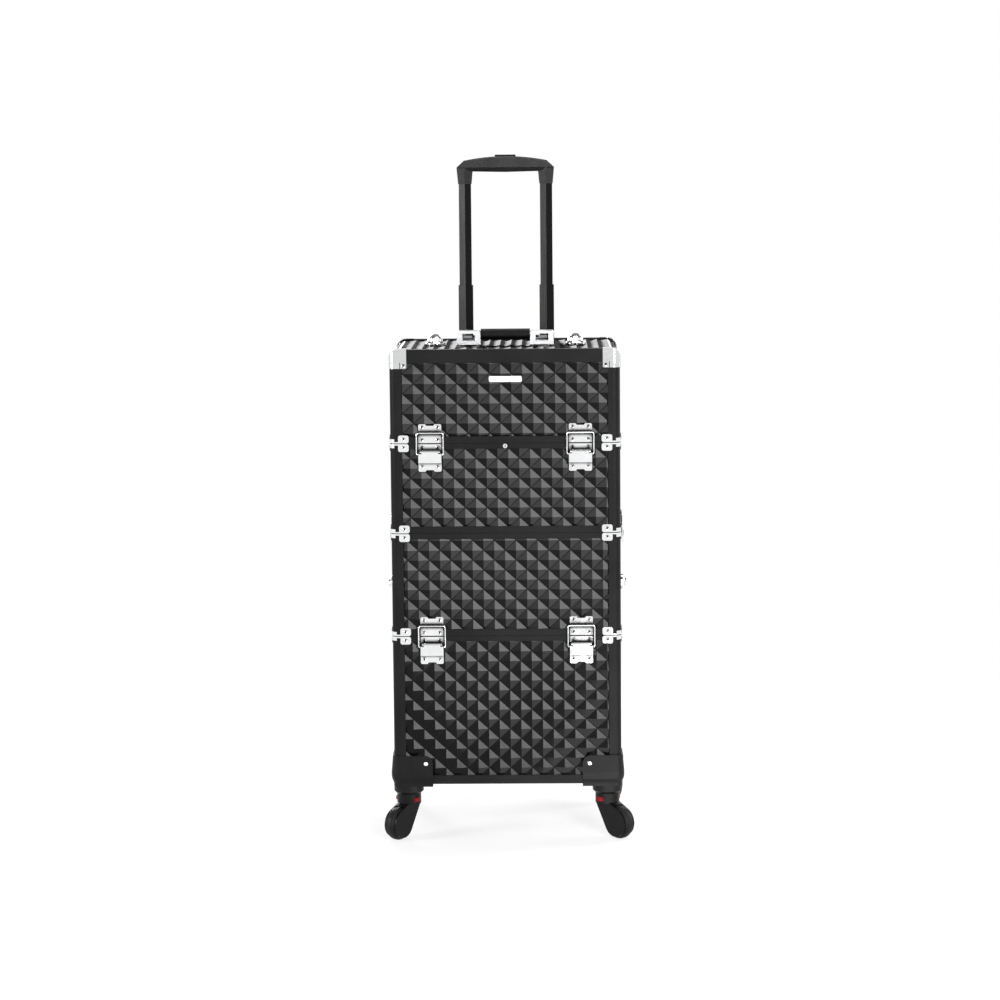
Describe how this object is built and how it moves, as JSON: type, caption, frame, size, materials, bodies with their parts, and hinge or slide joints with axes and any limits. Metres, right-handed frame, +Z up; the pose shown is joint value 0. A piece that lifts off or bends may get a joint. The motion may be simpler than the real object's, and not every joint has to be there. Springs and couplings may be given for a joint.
{
  "type": "rolling makeup case",
  "caption": "Tall rolling makeup case of stacked lift-off tiers with diamond-pyramid panels, draw latches, a telescopic trolley handle and swivel casters.",
  "frame": {"origin": "on the floor, under the middle of the case", "axes": "+Z up, +X to the right seen from the front, front towards -Y"},
  "size_m": [0.3733, 0.3017, 1.0189],
  "materials": {
    "lining_board": "black lined board",
    "pyramid_sheet": "glossy black sheet pressed into diamond pyramids",
    "profile": "black anodised extrusion",
    "chrome": "polished chrome",
    "moulding": "black moulding",
    "handle_tube": "black anodised tube",
    "grip": "soft black grip",
    "wheel": "dark wheel",
    "lock_red": "red lock bar"
  },
  "bodies": {
    "base": {"base_walls": "lining_board", "base_skin": "pyramid_sheet", "base_frame": "profile", "base_clips": "chrome", "corner_housings": "moulding", "base_latch_plates": "chrome", "base_hinge_pins": "chrome", "handle_brackets": "moulding", "outer_tubes": "handle_tube"},
    "middle": {"middle_walls": "lining_board", "middle_skin": "pyramid_sheet", "middle_frame": "profile", "middle_clips": "chrome", "middle_latch_plates": "chrome", "middle_hinge_hooks": "chrome", "side_posts": "chrome"},
    "upper": {"upper_walls": "lining_board", "upper_skin": "pyramid_sheet", "upper_frame": "profile", "upper_clips": "chrome", "upper_latch_plates": "chrome", "upper_hinge_pins": "chrome"},
    "lid": {"lid_walls": "lining_board", "lid_skin": "pyramid_sheet", "lid_frame": "profile", "lid_clips": "chrome", "lid_corner_caps": "chrome", "lid_catches": "chrome", "lid_hinge_hooks": "chrome", "top_posts": "chrome", "carry_brackets": "chrome"},
    "carry_grip": {"carry_grip": "grip", "carry_tongues": "chrome"},
    "key_lock": {"lock_barrel": "chrome"},
    "handle_middle": {"middle_tubes": "handle_tube"},
    "handle_top": {"inner_tubes": "handle_tube", "trolley_grip": "grip"},
    "button": {"release_button": "moulding"},
    "lid_lever_left": {"lid_lever_left": "chrome"},
    "lid_bail_left": {"lid_bail_left": "chrome"},
    "base_lever_left": {"base_lever_left": "chrome"},
    "base_bail_left": {"base_bail_left": "chrome"},
    "side_lever_left": {"side_lever_left": "chrome"},
    "side_bail_left": {"side_bail_left": "chrome"},
    "lid_lever_right": {"lid_lever_right": "chrome"},
    "lid_bail_right": {"lid_bail_right": "chrome"},
    "base_lever_right": {"base_lever_right": "chrome"},
    "base_bail_right": {"base_bail_right": "chrome"},
    "side_lever_right": {"side_lever_right": "chrome"},
    "side_bail_right": {"side_bail_right": "chrome"},
    "fork_front_left": {"fork_front_left": "moulding"},
    "wheel_front_left": {"wheel_front_left": "wheel"},
    "lock_bar_front_left": {"lock_bar_front_left": "lock_red"},
    "fork_front_right": {"fork_front_right": "moulding"},
    "wheel_front_right": {"wheel_front_right": "wheel"},
    "lock_bar_front_right": {"lock_bar_front_right": "lock_red"},
    "fork_rear_left": {"fork_rear_left": "moulding"},
    "wheel_rear_left": {"wheel_rear_left": "wheel"},
    "fork_rear_right": {"fork_rear_right": "moulding"},
    "wheel_rear_right": {"wheel_rear_right": "wheel"}
  },
  "joints": [
    {"name": "middle_lift", "type": "slide", "parent": "base", "child": "middle", "axis": [0, 0, 1], "range_m": [0, 0.16]},
    {"name": "upper_lift", "type": "slide", "parent": "middle", "child": "upper", "axis": [0, 0, 1], "range_m": [0, 0.15]},
    {"name": "lid_lift", "type": "slide", "parent": "upper", "child": "lid", "axis": [0, 0, 1], "range_m": [0, 0.16]},
    {"name": "carry_grip_lift", "type": "slide", "parent": "lid", "child": "carry_grip", "axis": [0, 0, 1], "range_m": [0, 0.0025]},
    {"name": "key_turn", "type": "hinge", "parent": "upper", "child": "key_lock", "pos_m": [0, -0.12, 0.592], "axis": [0, -1, 0], "range_deg": [0, 90]},
    {"name": "handle_middle_slide", "type": "slide", "parent": "base", "child": "handle_middle", "axis": [0, 0, 1], "range_m": [-0.3, 0]},
    {"name": "handle_top_slide", "type": "slide", "parent": "handle_middle", "child": "handle_top", "axis": [0, 0, 1], "range_m": [-0.15, 0]},
    {"name": "button_press", "type": "slide", "parent": "handle_top", "child": "button", "axis": [0, 0, -1], "range_m": [0, 0.002], "stiffness_N_per_m": 600, "springref_m": -0.0005},
    {"name": "lid_left_lever_turn", "type": "hinge", "parent": "upper", "child": "lid_lever_left", "pos_m": [-0.111, -0.1245, 0.5842], "axis": [-1, 0, 0], "range_deg": [0, 150]},
    {"name": "lid_left_bail_turn", "type": "hinge", "parent": "lid_lever_left", "child": "lid_bail_left", "pos_m": [-0.111, -0.1247, 0.5796], "axis": [-1, 0, 0], "range_deg": [-150, 0]},
    {"name": "base_left_lever_turn", "type": "hinge", "parent": "base", "child": "base_lever_left", "pos_m": [-0.111, -0.1245, 0.2962], "axis": [-1, 0, 0], "range_deg": [0, 150]},
    {"name": "base_left_bail_turn", "type": "hinge", "parent": "base_lever_left", "child": "base_bail_left", "pos_m": [-0.111, -0.1247, 0.2916], "axis": [-1, 0, 0], "range_deg": [-150, 0]},
    {"name": "side_left_lever_turn", "type": "hinge", "parent": "middle", "child": "side_lever_left", "pos_m": [-0.1745, 0, 0.4502], "axis": [0, 1, 0], "range_deg": [0, 150]},
    {"name": "side_left_bail_turn", "type": "hinge", "parent": "side_lever_left", "child": "side_bail_left", "pos_m": [-0.1747, 0, 0.4456], "axis": [0, 1, 0], "range_deg": [-150, 0]},
    {"name": "lid_right_lever_turn", "type": "hinge", "parent": "upper", "child": "lid_lever_right", "pos_m": [0.111, -0.1245, 0.5842], "axis": [-1, 0, 0], "range_deg": [0, 150]},
    {"name": "lid_right_bail_turn", "type": "hinge", "parent": "lid_lever_right", "child": "lid_bail_right", "pos_m": [0.111, -0.1247, 0.5796], "axis": [-1, 0, 0], "range_deg": [-150, 0]},
    {"name": "base_right_lever_turn", "type": "hinge", "parent": "base", "child": "base_lever_right", "pos_m": [0.111, -0.1245, 0.2962], "axis": [-1, 0, 0], "range_deg": [0, 150]},
    {"name": "base_right_bail_turn", "type": "hinge", "parent": "base_lever_right", "child": "base_bail_right", "pos_m": [0.111, -0.1247, 0.2916], "axis": [-1, 0, 0], "range_deg": [-150, 0]},
    {"name": "side_right_lever_turn", "type": "hinge", "parent": "middle", "child": "side_lever_right", "pos_m": [0.1745, 0, 0.4502], "axis": [0, -1, 0], "range_deg": [0, 150]},
    {"name": "side_right_bail_turn", "type": "hinge", "parent": "side_lever_right", "child": "side_bail_right", "pos_m": [0.1747, 0, 0.4456], "axis": [0, -1, 0], "range_deg": [-150, 0]},
    {"name": "front_left_swivel", "type": "hinge", "parent": "base", "child": "fork_front_left", "pos_m": [-0.149, -0.099, 0.067], "axis": [0, 0, 1], "continuous": true},
    {"name": "front_left_wheel_roll", "type": "hinge", "parent": "fork_front_left", "child": "wheel_front_left", "pos_m": [-0.16391, -0.1203, 0.0245], "axis": [0.8192, -0.5736, 0], "continuous": true},
    {"name": "front_left_lock_push", "type": "slide", "parent": "fork_front_left", "child": "lock_bar_front_left", "axis": [0.8192, -0.5736, 0], "range_m": [0, 0.003]},
    {"name": "front_right_swivel", "type": "hinge", "parent": "base", "child": "fork_front_right", "pos_m": [0.149, -0.099, 0.067], "axis": [0, 0, 1], "continuous": true},
    {"name": "front_right_wheel_roll", "type": "hinge", "parent": "fork_front_right", "child": "wheel_front_right", "pos_m": [0.1664, -0.11832, 0.0245], "axis": [0.7431, 0.6691, 0], "continuous": true},
    {"name": "front_right_lock_push", "type": "slide", "parent": "fork_front_right", "child": "lock_bar_front_right", "axis": [0.7431, 0.6691, 0], "range_m": [0, 0.003]},
    {"name": "rear_left_swivel", "type": "hinge", "parent": "base", "child": "fork_rear_left", "pos_m": [-0.149, 0.099, 0.067], "axis": [0, 0, 1], "continuous": true},
    {"name": "rear_left_wheel_roll", "type": "hinge", "parent": "fork_rear_left", "child": "wheel_rear_left", "pos_m": [-0.15999, 0.12256, 0.0245], "axis": [-0.9063, -0.4226, 0], "continuous": true},
    {"name": "rear_right_swivel", "type": "hinge", "parent": "base", "child": "fork_rear_right", "pos_m": [0.149, 0.099, 0.067], "axis": [0, 0, 1], "continuous": true},
    {"name": "rear_right_wheel_roll", "type": "hinge", "parent": "fork_rear_right", "child": "wheel_rear_right", "pos_m": [0.15999, 0.12256, 0.0245], "axis": [-0.9063, 0.4226, 0], "continuous": true}
  ],
  "couplings": [
    {"joint": "lid_left_bail_turn", "follows": "lid_left_lever_turn", "ratio": -1},
    {"joint": "base_left_bail_turn", "follows": "base_left_lever_turn", "ratio": -1},
    {"joint": "side_left_bail_turn", "follows": "side_left_lever_turn", "ratio": -1},
    {"joint": "lid_right_bail_turn", "follows": "lid_right_lever_turn", "ratio": -1},
    {"joint": "base_right_bail_turn", "follows": "base_right_lever_turn", "ratio": -1},
    {"joint": "side_right_bail_turn", "follows": "side_right_lever_turn", "ratio": -1}
  ]
}
